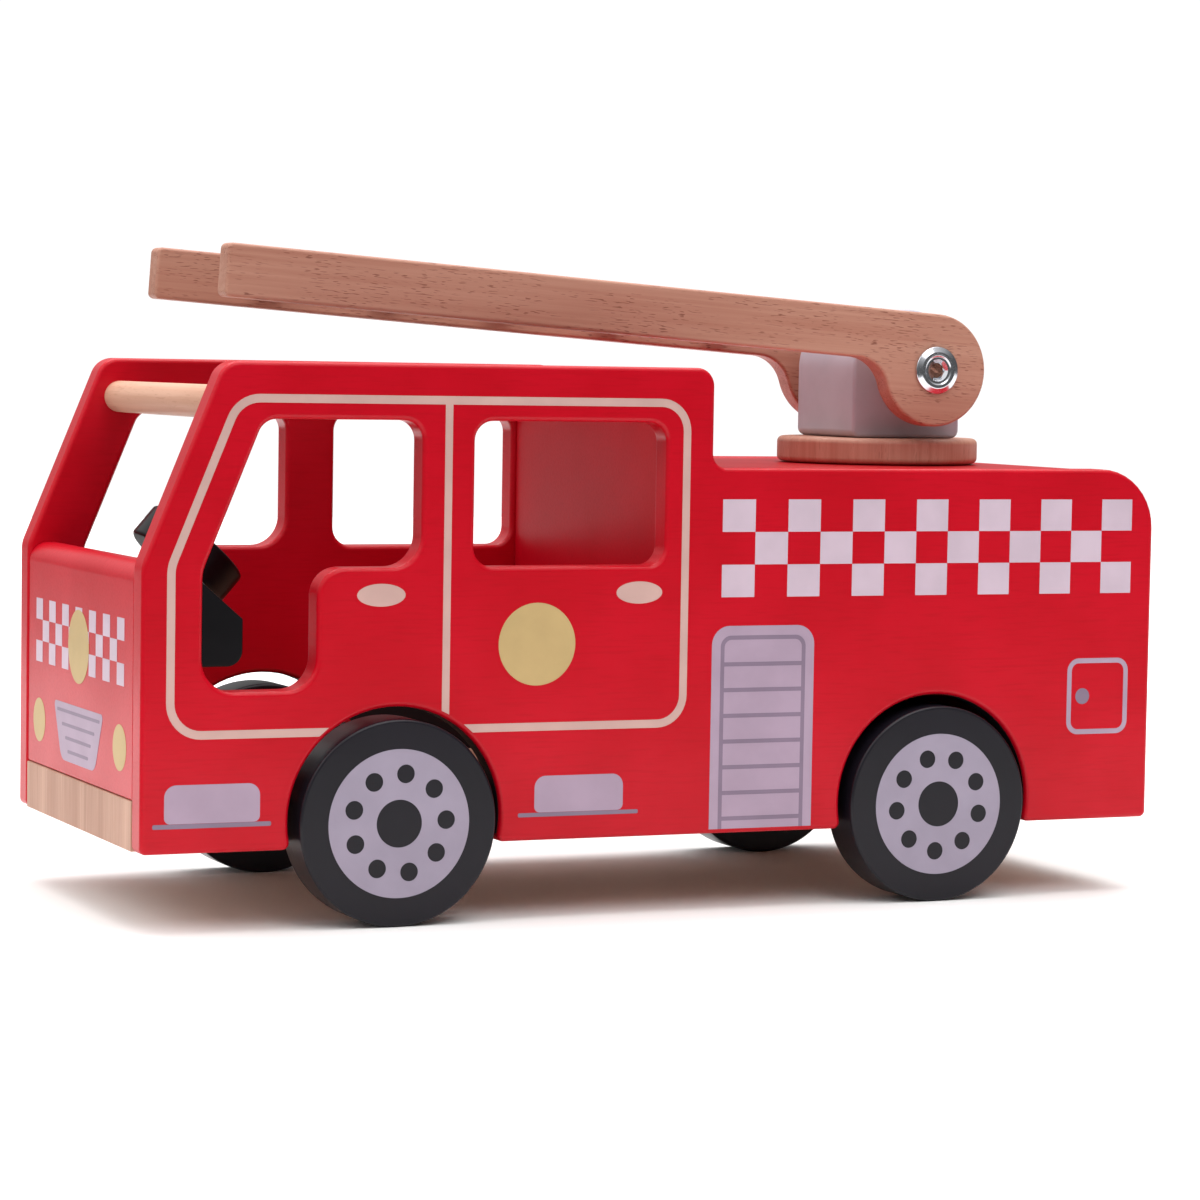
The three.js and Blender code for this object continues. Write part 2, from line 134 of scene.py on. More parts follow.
class Shell:
    def __init__(self):
        self.points, self.faces, self.normals = [], [], []

    def face(self, corners):
        # corners are (index, normal); a face with two equal points is left out
        if len({index for index, _ in corners}) < 3:
            return
        self.faces.append([index for index, _ in corners])
        self.normals += [normal for _, normal in corners]

    def plate(self, outer, holes=(), low=0, high=1, edge=0, steps=5):
        # a board between two heights, with its edges rounded by edge
        loops = [outer] + [asHole(hole) for hole in holes]
        turns = [math.pi / 2 * k / steps for k in range(steps + 1)] if edge else [math.pi / 2]
        levels = [(edge * (1 - math.sin(t)), high - edge * (1 - math.cos(t)), t) for t in turns]
        levels += [(inset, low + high - w, math.pi - t) for inset, w, t in reversed(levels)]
        caps = ([], [])
        for loop in loops:
            count, base = len(loop), len(self.points)
            miters = [(a + b) / (1 + a.dot(b)) for _, a, b in loop]
            for inset, w, _ in levels:
                for (point, _, _), miter in zip(loop, miters):
                    at = point - miter * inset
                    self.points.append(Vector((at.x, at.y, w)))
            for k in range(len(levels) - 1):
                upper, lower = levels[k][2], levels[k + 1][2]
                if not edge:
                    upper = lower = math.pi / 2
                for i in range(count):
                    j = (i + 1) % count
                    a, b = loop[i][2], loop[j][1]
                    quad = []
                    for row, column, normal, turn in ((k, i, a, upper), (k + 1, i, a, lower),
                                                      (k + 1, j, b, lower), (k, j, b, upper)):
                        tilted = Vector((*(normal * math.sin(turn)), math.cos(turn)))
                        quad.append((base + row * count + column, tilted))
                    self.face(quad)
            caps[0].append(range(base, base + count))
            last = base + (len(levels) - 1) * count
            caps[1].append(range(last, last + count))
        for cap, up in zip(caps, (1, -1)):
            flat = [index for ring in cap for index in ring]
            rings = [[Vector((*self.points[index].xy, 0)) for index in ring] for ring in cap]
            for triangle in tessellate_polygon(rings):
                a, b, c = (self.points[flat[t]].xy for t in triangle)
                if abs((b - a).cross(c - a)) < 1e-9:
                    continue
                way = triangle if (b - a).cross(c - a) * up > 0 else triangle[::-1]
                self.face([(flat[t], Vector((0, 0, up))) for t in way])

    def turned(self, profile, sides=64):
        # profile in (radius, height), running upwards round the outside; it may start and end on the axis
        base, count = len(self.points), len(profile)
        rays = [Vector((math.cos(math.tau * k / sides), math.sin(math.tau * k / sides))) for k in range(sides)]
        where = []
        for (point, _, _) in profile:
            onAxis = point.x < 1e-6
            where.append([len(self.points) + (0 if onAxis else k) for k in range(sides)])
            for ray in rays[:1] if onAxis else rays:
                self.points.append(Vector((*(ray * point.x), point.y)))
        closed = profile[0][0].x > 1e-6
        for i in range(count if closed else count - 1):
            j = (i + 1) % count
            a, b = profile[i][2], profile[j][1]
            for k in range(sides):
                m = (k + 1) % sides
                quad = []
                for row, column, normal in ((i, k, a), (i, m, a), (j, m, b), (j, k, b)):
                    index = where[row][column]
                    if quad and quad[-1][0] == index:
                        continue
                    quad.append((index, Vector((*(rays[column] * normal.x), normal.y))))
                if quad[0][0] == quad[-1][0]:
                    quad.pop()
                self.face(quad)

    def build(self, name, material, body, slot, place=Matrix(), replaces=()):
        mesh = bpy.data.meshes.new(name)
        mesh.from_pydata([point * mm for point in self.points], [], self.faces)
        mesh.polygons.foreach_set("use_smooth", [True] * len(self.faces))
        mesh.normals_split_custom_set([tuple(normal.normalized()) for normal in self.normals])
        mesh.materials.append(material)
        piece = bpy.data.objects.new(name, mesh)
        bpy.context.scene.collection.objects.link(piece)
        piece.matrix_world = place
        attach(piece, body)
        if replaces:
            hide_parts(*replaces)
        return piece


def placed(origin, u, v, w):
    # a frame at origin, in millimetres, with its axes along u, v and w
    columns = Matrix((Vector(u), Vector(v), Vector(w))).transposed()
    return Matrix.Translation(Vector(origin) * mm) @ columns.to_4x4()


def turnedPiece(name, corners, material, body, slot, place, replaces=(), sides=64):
    shell = Shell()
    shell.turned(profileOf(corners), sides)
    return shell.build(name, material, body, slot, place, replaces)


def profileOf(corners):
    # corners (radius, height, rounding) from the lower end of the axis to the upper one
    if corners[0][0] > 0:
        return outline(*corners)
    loop = []
    for i, corner in enumerate(corners):
        if i in (0, len(corners) - 1):
            normal = Vector((0, -1 if i == 0 else 1))
            loop.append((Vector(corner[:2]), normal, normal))
            continue
        radius = corner[2] if len(corner) > 2 else 0
        loop += cornerOf(corners[i - 1][:2], corner[:2], corners[i + 1][:2], radius)
    return loop


# Shading

class Value:
    # a shader socket that takes part in sums
    def __init__(self, shade, socket):
        self.shade, self.socket = shade, socket

    def apply(self, operation, *others):
        return self.shade.node("ShaderNodeMath", {"operation": operation}, dict(enumerate((self, *others))))

    def __add__(self, other):
        return self.apply("ADD", other)

    def __sub__(self, other):
        return self.apply("SUBTRACT", other)

    def __mul__(self, other):
        return self.apply("MULTIPLY", other)

    def __rsub__(self, other):
        return self.shade.node("ShaderNodeMath", {"operation": "SUBTRACT"}, {0: other, 1: self})

    def __pow__(self, other):
        return self.apply("POWER", other)

    __radd__ = __add__
    __rmul__ = __mul__

    def between(self, low, high):
        # 0 below low, 1 above high
        return self.shade.node("ShaderNodeMapRange", {"clamp": True, "interpolation_type": "SMOOTHSTEP"},
                               {"Value": self, "From Min": low, "From Max": high})


class Nodes:
    def __init__(self, owner):
        owner.use_nodes = True
        self.tree = owner.node_tree

    def node(self, kind, settings=None, inputs=None, output=0):
        made = self.tree.nodes.new(kind)
        for key, value in (settings or {}).items():
            setattr(made, key, value)
        for key, value in (inputs or {}).items():
            if isinstance(value, Value):
                self.tree.links.new(value.socket, made.inputs[key])
            else:
                made.inputs[key].default_value = value
        return Value(self, made.outputs[output])


class Shade(Nodes):
    # a material on one principled surface
    def __init__(self, name, **fixed):
        self.material = bpy.data.materials.new(name)
        super().__init__(self.material)
        self.surface = self.tree.nodes["Principled BSDF"]
        for key, value in fixed.items():
            self.surface.inputs[key.replace("_", " ")].default_value = value

    def place(self, scale, offset=(0, 0, 0)):
        where = self.node("ShaderNodeTexCoord", output="Object")
        return self.node("ShaderNodeMapping", inputs={"Vector": where, "Scale": scale, "Location": offset})

    def noise(self, where, scale=1, detail=2, roughness=0.5, distortion=0):
        return self.node("ShaderNodeTexNoise", inputs={"Vector": where, "Scale": scale, "Detail": detail,
                                                       "Roughness": roughness, "Distortion": distortion})

    def mix(self, factor, a, b, kind="MIX"):
        return self.node("ShaderNodeMix", {"data_type": "RGBA", "blend_type": kind},
                         {0: factor, 6: a, 7: b}, output=2)

    def feed(self, **links):
        for key, value in links.items():
            self.tree.links.new(value.socket, self.surface.inputs[key.replace("_", " ")])

    def bump(self, height, strength, distance):
        self.feed(Normal=self.node("ShaderNodeBump", inputs={"Strength": strength, "Distance": distance,
                                                             "Height": height}))


def rgb(red, green, blue):
    # a colour given as on a screen, 0 to 255, as the light it stands for
    light = [c / 255 / 12.92 if c < 11 else ((c / 255 + 0.055) / 1.055) ** 2.4 for c in (red, green, blue)]
    return (*light, 1)


lacquer = {"red": (196, 8, 32), "redDeep": (186, 1, 24), "streak": (170, 0, 18), "grainLength": 0.009,
           "grainWidth": 0.0007, "orangePeel": 0.0016}


def redLacquer():
    shade = Shade("redLacquer", Coat_Weight=0.06, Coat_Roughness=0.12, Specular_IOR_Level=0.2)
    fine = 1 / lacquer["grainWidth"]
    grain = shade.noise(shade.place((1 / lacquer["grainLength"], fine, fine)), detail=3)
    peel = shade.noise(shade.place((1, 1, 1)), 1 / lacquer["orangePeel"], 2)
    cloud = shade.noise(shade.place((1, 1, 1)), 30, 3)
    tone = shade.mix(cloud.between(0.3, 0.7), rgb(*lacquer["red"]), rgb(*lacquer["redDeep"]))
    shade.feed(Base_Color=shade.mix(grain.between(0.45, 0.75) * 0.35, tone, rgb(*lacquer["streak"])),
               Roughness=0.22 + 0.12 * cloud + 0.08 * grain)
    shade.bump(grain * 0.8 + peel * 0.5, 0.35, 0.00008)
    return shade.material


def blackLacquer(name, deep, light, specular):
    shade = Shade(name, Coat_Weight=0.06, Coat_Roughness=0.1, Specular_IOR_Level=specular)
    pores = shade.noise(shade.place((90, 90, 900)), detail=2).between(0.58, 0.7)
    cloud = shade.noise(shade.place((1, 1, 1)), 60, 3)
    shade.feed(Base_Color=shade.mix(cloud, rgb(*deep), rgb(*light)), Roughness=0.26 + 0.12 * cloud)
    shade.bump(cloud * 0.4 - pores, 0.2, 0.00005)
    return shade.material


def paintOf(name, colour, roughness=0.42, coat=0.1):
    # lacquer or printing ink in one colour, faintly uneven
    shade = Shade(name, Coat_Weight=coat, Coat_Roughness=0.2, Specular_IOR_Level=0.25)
    cloud = shade.noise(shade.place((1, 1, 1)), 70, 4)
    speck = shade.noise(shade.place((1, 1, 1)), 1500, 2)
    darker = tuple(0.9 * c for c in rgb(*colour)[:3]) + (1,)
    shade.feed(Base_Color=shade.mix(cloud.between(0.3, 0.7), rgb(*colour), darker),
               Roughness=roughness + 0.1 * speck)
    shade.bump(speck, 0.15, 0.00003)
    return shade.material


beechLook = {"light": (196, 147, 126), "deep": (176, 120, 100), "fleck": (128, 74, 58),
             "fleckLength": 0.0026, "fleckWidth": 0.00032, "ringPitch": 0.0026}
paleLook = {"light": (222, 176, 150), "deep": (200, 148, 122), "fleck": (172, 118, 92),
            "fleckLength": 0.004, "fleckWidth": 0.0004, "ringPitch": 0.0013}


# the bar's pale wood made darker, with finer streaks, for the base board
darkPaleLook = {**paleLook, "light": (204, 162, 140), "deep": (164, 120, 98), "streakWidth": 0.0005}


def wood(name, look, along="x", offset=(0, 0, 0), centre=(0, 0, 0), flecks=0.8):
    # clear-coated wood, its grain along one of the piece's own axes
    shade = Shade(name, Coat_Weight=0.06, Coat_Roughness=0.35, Specular_IOR_Level=0.35)
    axis = "xyz".index(along)

    def stretched(long, wide):
        scale = [1 / wide] * 3
        scale[axis] = 1 / long
        return shade.place(scale, offset)

    streak = shade.noise(stretched(0.06, look.get("streakWidth", 0.0012)), detail=4, roughness=0.6)
    tone = shade.noise(stretched(0.09, 0.009), detail=3)
    fleck = shade.noise(stretched(look["fleckLength"], look["fleckWidth"]), detail=0.5).between(0.6, 0.7)
    sparse = shade.noise(stretched(0.02, 0.004), detail=1).between(0.35, 0.6)
    squash = [1 / look["ringPitch"]] * 3
    squash[axis] = 0.03 / look["ringPitch"]
    where = shade.place(squash, [-c * s for c, s in zip(centre, squash)])
    rings = shade.node("ShaderNodeTexWave", {"wave_type": "RINGS", "rings_direction": along.upper()},
                       {"Vector": where, "Scale": 0.31, "Distortion": 1.6, "Detail": 2, "Detail Scale": 0.4})
    base = shade.mix((tone * 0.55 + streak * 0.45).between(0.3, 0.7), rgb(*look["light"]), rgb(*look["deep"]))
    base = shade.mix(rings ** 3 * 0.28, base, rgb(*look["deep"]))
    marks = fleck * sparse * flecks
    base = shade.mix(marks, base, rgb(*look["fleck"]))
    shade.feed(Base_Color=base, Roughness=0.46 + 0.14 * streak + 0.1 * marks)
    shade.bump(streak * 0.5 - marks, 0.3, 0.00008)
    return shade.material


def steel(name, colour, roughness, lines=0.0008):
    shade = Shade(name, Metallic=1.0)
    turning = shade.noise(shade.place((60, 60, 1 / lines)), detail=2)
    smear = shade.noise(shade.place((1, 1, 1)), 220, 3)
    shade.feed(Base_Color=shade.mix(smear, rgb(*colour), rgb(*[0.9 * c for c in colour])),
               Roughness=roughness + 0.1 * smear + 0.04 * turning)
    shade.bump(turning, 0.12, 0.00003)
    return shade.material


red = redLacquer()
black = blackLacquer("blackLacquer", (6, 5, 8), (14, 12, 17), 0.18)
tyreBlack = blackLacquer("tyreLacquer", (14, 12, 18), (26, 23, 32), 0.25)
lilac = paintOf("lilacLacquer", (186, 182, 192), 0.4, 0.1)
nylon = paintOf("whiteNylon", (232, 229, 220), 0.5, 0)
chrome = steel("polishedSteel", (214, 216, 222), 0.1)
zinc = steel("plainSteel", (188, 190, 196), 0.24)
inks = {
    "cream": paintOf("creamInk", (205, 168, 160)),
    "white": paintOf("whiteInk", (206, 186, 200)),
    "plate": paintOf("plateInk", (174, 152, 172)),
    "line": paintOf("lineInk", (136, 118, 138)),
    "yellow": paintOf("yellowInk", (196, 168, 116)),
    "hub": paintOf("hubInk", (160, 150, 168), 0.45, 0.15),
    # painted shade: a near-black film that stands in for the shadow inside the wheel wells
    "coat": paintOf("wellPaintedShade", (17, 13, 17), 0.6, 0),
}
print("materials made")


# Side boards

bodyLow, bodyHigh = span("left_side_board")
board = bodyHigh.y - bodyLow.y
outside = span("right_side_board")[1].y
noseX, tailX = bodyLow.x, bodyHigh.x
bottomZ, cabZ = bodyLow.z, bodyHigh.z
wheelbase = (joints["rear_wheels_roll"]["pos_m"][0] - joints["front_wheels_roll"]["pos_m"][0]) / mm
axleZ = joints["front_wheels_roll"]["pos_m"][2] / mm

sides = {"edge": 1.3, "lean": 22.33, "sill": 90.5, "deck": 114.7, "cabRear": 10, "tailRadius": 16,
         "noseRadius": 8, "browRadius": 6, "cabRearRadius": 4.7, "deckFillet": 3.7, "foot": 1.7,
         "archRadius": 28.1, "archRise": 0.8}
windows = {"top": 126.2, "ledge": 89.6, "radius": 5, "pillar": 16.1, "jamb": 15.4, "doorRear": -70,
           "doorKnee": -97.3, "doorBottom": 59.4, "doorCorner": 8, "kneeRadius": 7, "sillRadius": 9,
           "rearFront": -56, "rearRear": -3.3}
slope = math.tan(math.radians(sides["lean"]))


def archItems(x):
    # the foot's corner, the arch and the next foot, with the arc's ends carried straight down
    centre = Vector((x, axleZ + sides["archRise"]))
    dip = math.degrees(math.asin((centre.y - bottomZ - 2) / sides["archRadius"]))
    arch = arcOf(centre, sides["archRadius"], 180 + dip, -dip, 4)
    end = arch[0][0]
    run = (end.y - bottomZ) * math.tan(math.radians(dip))
    return [(end.x + run, bottomZ, sides["foot"]), arch, (2 * x - end.x - run, bottomZ, sides["foot"])]


def sideLoop():
    browX = noseX + (cabZ - sides["sill"]) * slope
    return outline(
        (noseX, bottomZ, sides["foot"]),
        *archItems(-wheelbase / 2),
        *archItems(wheelbase / 2),
        (tailX, bottomZ, sides["foot"]),
        (tailX, sides["deck"], sides["tailRadius"]),
        (sides["cabRear"], sides["deck"], sides["deckFillet"]),
        (sides["cabRear"], cabZ, sides["cabRearRadius"]),
        (browX, cabZ, sides["browRadius"]),
        (noseX, sides["sill"], sides["noseRadius"]),
    )


def doorLoop():
    w = windows
    front = noseX + w["jamb"]
    topX = (w["top"] - sides["sill"]) * slope + noseX + w["pillar"]
    return outline(
        (front, w["doorBottom"], w["doorCorner"]),
        (w["doorKnee"], w["doorBottom"], w["doorCorner"]),
        (w["doorKnee"], w["ledge"], w["kneeRadius"]),
        (w["doorRear"], w["ledge"], w["doorCorner"]),
        (w["doorRear"], w["top"], w["radius"]),
        (topX, w["top"], w["radius"]),
        (front, sides["sill"] - (w["pillar"] - w["jamb"]) / slope, w["sillRadius"]),
    )


def rearWindowLoop():
    w = windows
    return boxLoop(w["rearFront"], w["rearRear"], w["ledge"], w["top"], w["radius"])


sidePlaces = {"left": -1, "right": 1}
for sideName, side in sidePlaces.items():
    shell = Shell()
    shell.plate(sideLoop(), [doorLoop(), rearWindowLoop()], -board / 2, board / 2, sides["edge"], 6)
    place = placed((0, side * (outside - board / 2), 0), (1, 0, 0), (0, 0, 1), (0, -1, 0))
    shell.build(sideName + "SideBoard", red, "body", "red_lacquer", place, [sideName + "_side_board"])
print("side boards made")


# Printed decoration on the sides

ink = {"thick": 0.06, "sunk": 0.02}
trim = {"width": 2.1, "top": 132.3, "front": -136, "bottom": 48, "rear": 3.2, "pillar": 6.25,
        "topRadius": 9, "frontRadius": 9, "rearRadius": 8.3, "bendRadius": 10, "bar": (-64.3, -62.3)}
checks = {"front": 12.62, "top": 106.63, "wide": 9.437, "high": 8.439, "columns": 13, "gap": 0.02}
handles = {"size": (12.8, 5.7), "z": 82.8, "x": (-80.75, -10.6)}
roundPlate = (-38.7, 70, 10.5)
steps = ({"plate": (-136.25, -111.8, 27.5, 37), "line": (-139.2, -108.9, 26.3, 27.45)},
         {"plate": (-38.8, -14.3, 27.2, 36.5), "line": (-43.25, -10, 26.1, 27.15)})
shutter = {"box": (10.2, 39.7, 21.2, 73.9), "radius": 5, "frame": 2.5, "line": 1.1, "slats": 7,
           "first": 64.5, "pitch": 6.68}
hatch = {"box": (116.3, 135.2, 43.2, 63.75), "radius": 3.5, "line": 1.35, "knob": (121.1, 53.5, 2.15)}


def insetCorners(corners, distance):
    # the corners of the same outline, drawn inside it
    moved = []
    for i, (u, v, radius) in enumerate(corners):
        here = Vector((u, v))
        back = (Vector(corners[i - 1][:2]) - here).normalized()
        ahead = (Vector(corners[(i + 1) % len(corners)][:2]) - here).normalized()
        a, b = Vector((-back.y, back.x)), Vector((ahead.y, -ahead.x))
        at = here - (a + b) / (1 + a.dot(b)) * distance
        moved.append((at.x, at.y, max(0.2, radius - distance)))
    return moved


def archCut(z):
    # how far in front of and behind the wheel's centre the arch's rounded edge is, at height z
    reach = sides["archRadius"] + sides["edge"]
    return math.sqrt(reach ** 2 - (z - axleZ - sides["archRise"]) ** 2)


def trimLoops():
    t = trim
    bendZ = sides["sill"] + (t["front"] - noseX - t["pillar"]) / slope
    topX = noseX + t["pillar"] + (t["top"] - sides["sill"]) * slope
    outer = [(t["rear"], t["bottom"], t["rearRadius"]), (t["rear"], t["top"], t["rearRadius"]),
             (topX, t["top"], t["topRadius"]), (t["front"], bendZ, t["bendRadius"]),
             (t["front"], t["bottom"], t["frontRadius"])]
    inner = insetCorners(outer, t["width"])
    x = -wheelbase / 2
    low, high = t["bottom"], t["bottom"] + t["width"]
    ring = outline((x + archCut(low), low), *outer, (x - archCut(low), low),
                   (x - archCut(high), high), *reversed(inner), (x + archCut(high), high))
    left, right = t["bar"]
    reach = sides["archRadius"] + sides["edge"]
    foot = [(side, axleZ + sides["archRise"] + math.sqrt(reach ** 2 - (side - x) ** 2))
            for side in (left, right)]
    bar = outline(*foot, (right, t["top"] - t["width"]), (left, t["top"] - t["width"]))
    return [ring, bar]


def checkLoops(front, top, wide, high, columns, rows=3):
    g = checks["gap"]
    loops = []
    for column in range(columns):
        for row in range(rows):
            if (column + row) % 2 == 0:
                u, v = front + column * wide, top - row * high
                loops.append(boxLoop(u + g, u + wide - g, v - high + g, v - g))
    return loops


def printed(name, loops, colour, place, body="body", slot="red_lacquer", lift=0):
    # loops, or (outer, holes) pairs, as a film of ink on a face whose w axis points out
    shell = Shell()
    for loop in loops:
        outer, holes = loop if isinstance(loop, tuple) else (loop, ())
        shell.plate(outer, holes, -ink["sunk"] + lift, ink["thick"] + lift)
    return shell.build(name, inks[colour], body, slot, place)


lifts = {"Over": 0.03}


def printLayers(prefix, layers, face, flipped=False):
    # a layer is named by its ink, and ends in Over where it lies on another ink
    for layer, loops in layers.items():
        ending = next((word for word in lifts if layer.endswith(word)), "")
        if flipped:
            loops = [(mirrored(loop[0]), [mirrored(hole) for hole in loop[1]]) if isinstance(loop, tuple)
                     else mirrored(loop) for loop in loops]
        printed(prefix + layer.capitalize() + "Print", loops, layer.replace(ending, ""), face,
                lift=lifts.get(ending, 0))


def ringLoops(box, radius, width):
    u0, u1, v0, v1 = box
    return (boxLoop(u0, u1, v0, v1, radius),
            [boxLoop(u0 + width, u1 - width, v0 + width, v1 - width, max(0.5, radius - width))])


def sidePrints():
    u0, u1, v0, v1 = shutter["box"]
    s = shutter
    slats = [boxLoop(u0 + s["frame"] + s["line"], u1 - s["frame"] - s["line"], z - s["line"], z)
             for z in (s["first"] - s["pitch"] * k for k in range(s["slats"]))]
    rails = outline((u0 + s["frame"], v0), (u0 + s["frame"] + s["line"], v0),
                    (u0 + s["frame"] + s["line"], v1 - s["frame"] - s["line"], 2),
                    (u1 - s["frame"] - s["line"], v1 - s["frame"] - s["line"], 2),
                    (u1 - s["frame"] - s["line"], v0), (u1 - s["frame"], v0),
                    (u1 - s["frame"], v1 - s["frame"], 3), (u0 + s["frame"], v1 - s["frame"], 3))
    knob = hatch["knob"]
    return {
        "cream": [*trimLoops(), *[ovalLoop(x, handles["z"], *handles["size"]) for x in handles["x"]]],
        "white": checkLoops(checks["front"], checks["top"], checks["wide"], checks["high"], checks["columns"]),
        "plate": [*[boxLoop(*step["plate"], 1.5, 3) for step in steps], boxLoop(*s["box"], 0, s["radius"]),
                  ringLoops(hatch["box"], hatch["radius"], hatch["line"])],
        "line": [*[boxLoop(*step["line"], 0.4) for step in steps], discLoop(*knob)],
        "yellow": [discLoop(*roundPlate)],
        "lineOver": [*slats, rails],
    }


for sideName, side in sidePlaces.items():
    face = placed((0, side * outside, 0), (-side, 0, 0), (0, 0, 1), (0, side, 0))
    printLayers(sideName, sidePrints(), face, side > 0)
print("side decoration made")


# Boards across the body

across = span("front_board")[1].y - span("front_board")[0].y


def crossBoard(name, corners, material, slot, node, edge=0.4):
    # corners are (x, z, radius) in the body's frame; the board runs from side to side
    shell = Shell()
    shell.plate(outline(*corners), (), -across / 2, across / 2, edge, 3)
    place = placed((0, 0, 0), (1, 0, 0), (0, 0, 1), (0, -1, 0))
    return shell.build(name, material, "body", slot, place, [node])


def uprightBoard(name, node, frontRadius, rearRadius, foot=0.6):
    low, high = span(node)
    return crossBoard(name, [(low.x, low.z, foot), (high.x, low.z, foot), (high.x, high.z, rearRadius),
                             (low.x, high.z, frontRadius)], red, "red_lacquer", node)


uprightBoard("frontBoard", "front_board", 5, 1.5)
uprightBoard("cabBulkhead", "cab_bulkhead", 1.6, 1.6)
uprightBoard("deckBoard", "deck_board", 0.6, 0.6)
low, high = span("tail_board")
tail = {"foot": 0.6, "drop": 2, "rearRadius": 1.6, "frontRadius": 0.8}
crossBoard("tailBoard", [(low.x, low.z, tail["foot"]), (high.x, low.z, tail["foot"]),
                         (high.x, high.z - tail["drop"], tail["rearRadius"]),
                         (low.x, high.z, tail["frontRadius"])], red, "red_lacquer", "tail_board")

dash = {"slope": 49, "lowerRear": 4, "rearHeight": 11.7}
low, high = span("dashboard")
footZ = low.z + dash["rearHeight"]
crossBoard("dashboardBlock", [(low.x, low.z, 0.6), (high.x, low.z, dash["lowerRear"]), (high.x, footZ, 0.8),
                              (high.x - (high.z - footZ) * math.tan(math.radians(dash["slope"])), high.z, 0.8),
                              (low.x, high.z, 0.6)], black, "black_lacquer", "dashboard")

baseLow, baseHigh = span("base_board")
notch = {"reach": 29.3, "face": span("front_right_bush")[1].y - 1.1, "radius": 1.5}


def baseLoop():
    halfWide = baseHigh.y
    items = [(baseLow.x, -halfWide, 0.3)]
    for side in (-1, 1):
        wheels = (-wheelbase / 2, wheelbase / 2) if side < 0 else (wheelbase / 2, -wheelbase / 2)
        for x in wheels:
            first, last = x + side * notch["reach"], x - side * notch["reach"]
            items += [(first, side * halfWide, 0.3), (first, side * notch["face"], notch["radius"]),
                      (last, side * notch["face"], notch["radius"]), (last, side * halfWide, 0.3)]
        items += [(baseHigh.x, -halfWide, 0.3), (baseHigh.x, halfWide, 0.3)] if side < 0 else []
    return outline(*items, (baseLow.x, halfWide, 0.3))


darkPaleWood = wood("paleWoodBoard", darkPaleLook, "z", (3, 5, 1), (0, 0.4, 0), 0.2)
shell = Shell()
shell.plate(baseLoop(), (), baseLow.z, baseHigh.z, 0.3, 3)
shell.build("baseBoard", darkPaleWood, "body", "pale_wood", Matrix(), ["base_board"])

low, high = span("grab_bar")
barPlace = placed(((low.x + high.x) / 2, 0, (low.z + high.z) / 2), (1, 0, 0), (0, 0, -1), (0, 1, 0))
turnedPiece("grabBar", [(0, low.y), ((high.x - low.x) / 2, low.y, 0.6), ((high.x - low.x) / 2, high.y, 0.6),
                        (0, high.y)], wood("paleWoodBar", paleLook, "z", (1, 2, 3), (0.02, 0.004, 0), 0.3),
            "body", "pale_wood", barPlace, ["grab_bar"])
print("cross boards made")


# painted shade round the wheels: near-black films where the wells lie in shadow

# size of the painted shade film in the wells; coat is the film's thickness
well = {"top": 52, "bottom": 21.5, "front": 8.6, "rear": 18.6, "coat": 0.06}
archZ = axleZ + sides["archRise"]


def wellShadeLoops():
    # painted shade: near-black film on the insides of the side boards in front of, between and behind the arches
    reach = sides["archRadius"] + sides["edge"]
    dip, lift = (math.degrees(math.asin(abs(well[key] - archZ) / reach)) for key in ("bottom", "top"))
    rise, fall = [[arcOf((x, archZ), reach, *ends) for x in (-wheelbase / 2, wheelbase / 2)]
                  for ends in ((180 + dip, 180 - lift), (lift, -dip))]
    front, rear = noseX + well["front"], tailX - well["rear"]
    return [outline((front, well["bottom"]), rise[0], (front, well["top"])), outline(rise[1], fall[0]),
            outline((rear, well["bottom"]), (rear, well["top"]), fall[1])]


for sideName, side in sidePlaces.items():
    inside = placed((0, side * (outside - board), 0), (side, 0, 0), (0, 0, 1), (0, -side, 0))
    loops = [loop if side > 0 else mirrored(loop) for loop in wellShadeLoops()]
    printed(sideName + "WellPaintedShade", loops, "coat", inside)
    face = placed((0, side * outside, 0), (-side, 0, 0), (0, 0, 1), (0, side, 0))
    dip = math.degrees(math.asin((archZ - bottomZ - 2) / sides["archRadius"]))
    # painted shade: near-black films on the arches' cut edges and on the base board's notch walls, standing in for
    # their shadow
    arches, notches = Shell(), Shell()
    for x in (-wheelbase / 2, wheelbase / 2):
        arches.plate(outline(arcOf((-side * x, archZ), sides["archRadius"] + ink["sunk"], -dip, 180 + dip),
                             arcOf((-side * x, archZ), sides["archRadius"] - well["coat"], 180 + dip, -dip)), (),
                     sides["edge"] - board, -sides["edge"])
        reach, deep, edge, coat = notch["reach"], notch["face"], baseHigh.y, well["coat"]
        wall = [(x - reach, edge), (x - reach, deep), (x + reach, deep), (x + reach, edge),
                (x + reach - coat, edge), (x + reach - coat, deep + coat), (x - reach + coat, deep + coat),
                (x - reach + coat, edge)]
        wall = wall if side > 0 else [(u, -v) for u, v in wall[::-1]]
        notches.plate(outline(*wall), (), baseLow.z, baseHigh.z)
    arches.build(sideName + "ArchPaintedShade", inks["coat"], "body", "red_lacquer", face)
    notches.build(sideName + "NotchPaintedShade", inks["coat"], "body", "pale_wood")
# the wheel wells' darkening is painted shade
print("wheel wells coated")


# Printed decoration on the front

nose = {"cell": 6.26, "row": 5.6, "top": 76.7, "columns": 13, "lamp": (37.2, 44.5, 5.8),
        "plate": (0, 66.6, 9.5), "grille": (36.2, 51.2, 22.8, 15.6, 5),
        "bars": ((49.1, 19.6), (45.6, 15), (42.2, 11.8), (38.8, 9.5)), "bar": 0.85}


